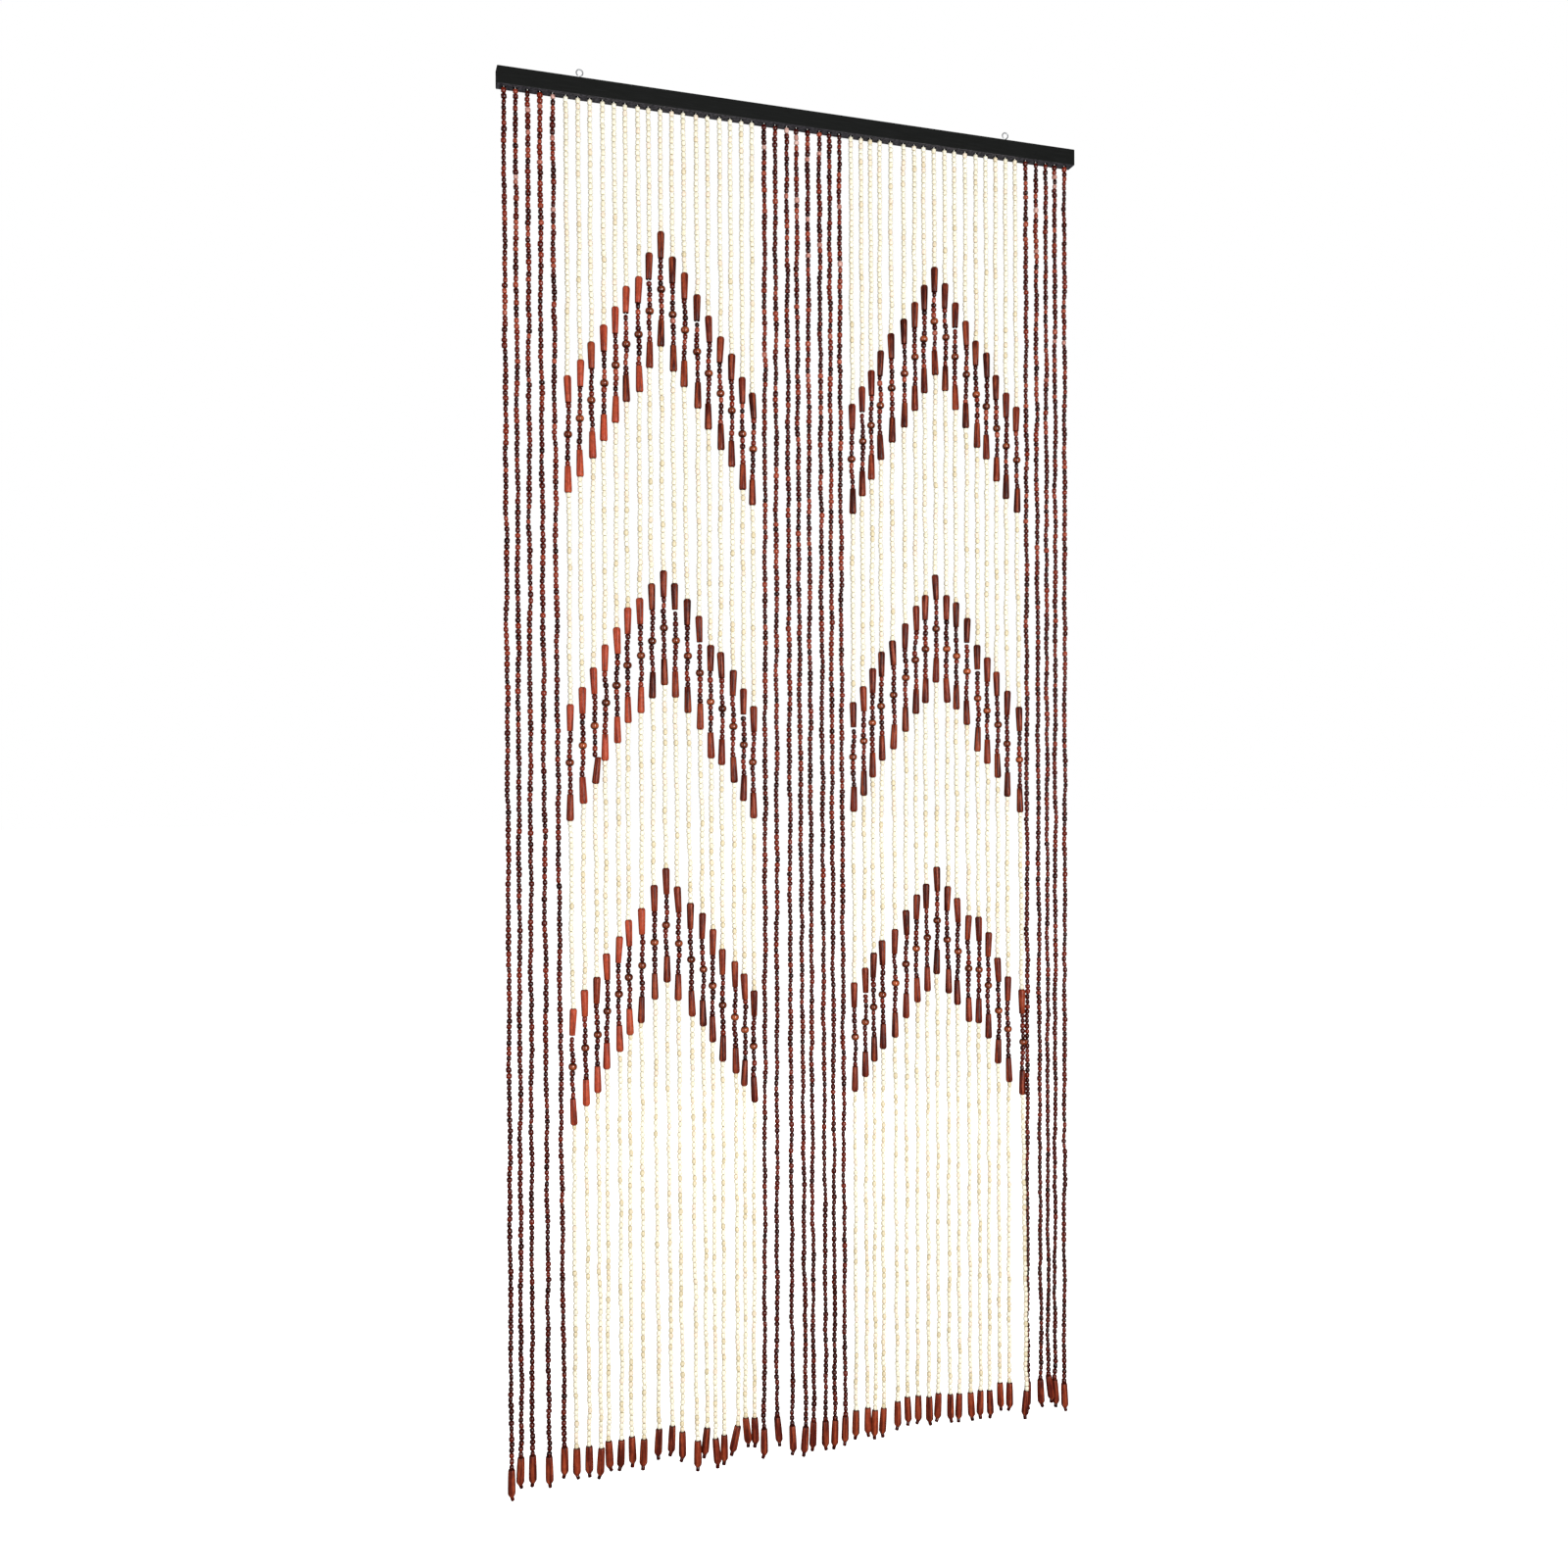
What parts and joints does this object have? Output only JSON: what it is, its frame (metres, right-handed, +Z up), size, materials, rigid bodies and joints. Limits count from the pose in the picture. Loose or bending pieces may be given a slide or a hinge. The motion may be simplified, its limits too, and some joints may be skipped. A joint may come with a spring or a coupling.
{
  "type": "bead curtain with its hanging rail",
  "caption": "Doorway curtain of hanging wooden bead strings, with barrel beads set in chevrons, on a black wooden rail with screw eyes.",
  "frame": {"origin": "midway between the centres of the two screw eyes' rings, above the rail", "axes": "+Z up, +X to the right along the rail as seen from the front, +Y to the back, towards the doorway"},
  "size_m": [0.9, 0.0218, 2.0216],
  "materials": {
    "black_paint": "black satin paint on a wooden batten",
    "zinc_steel": "zinc plated wire",
    "maroon_beads": "dark red-brown stain under gloss lacquer",
    "natural_beads": "natural pale wood, satin",
    "barrel_wood": "red-brown stain with the grain showing, satin lacquer"
  },
  "bodies": {
    "root": {"rail": "black_paint", "screw_eye_left": "zinc_steel", "screw_eye_right": "zinc_steel", "left_dark_strings": "maroon_beads", "left_cream_strings": "natural_beads", "middle_dark_strings": "maroon_beads", "right_cream_strings": "natural_beads", "right_dark_strings": "maroon_beads"}
  },
  "joints": []
}
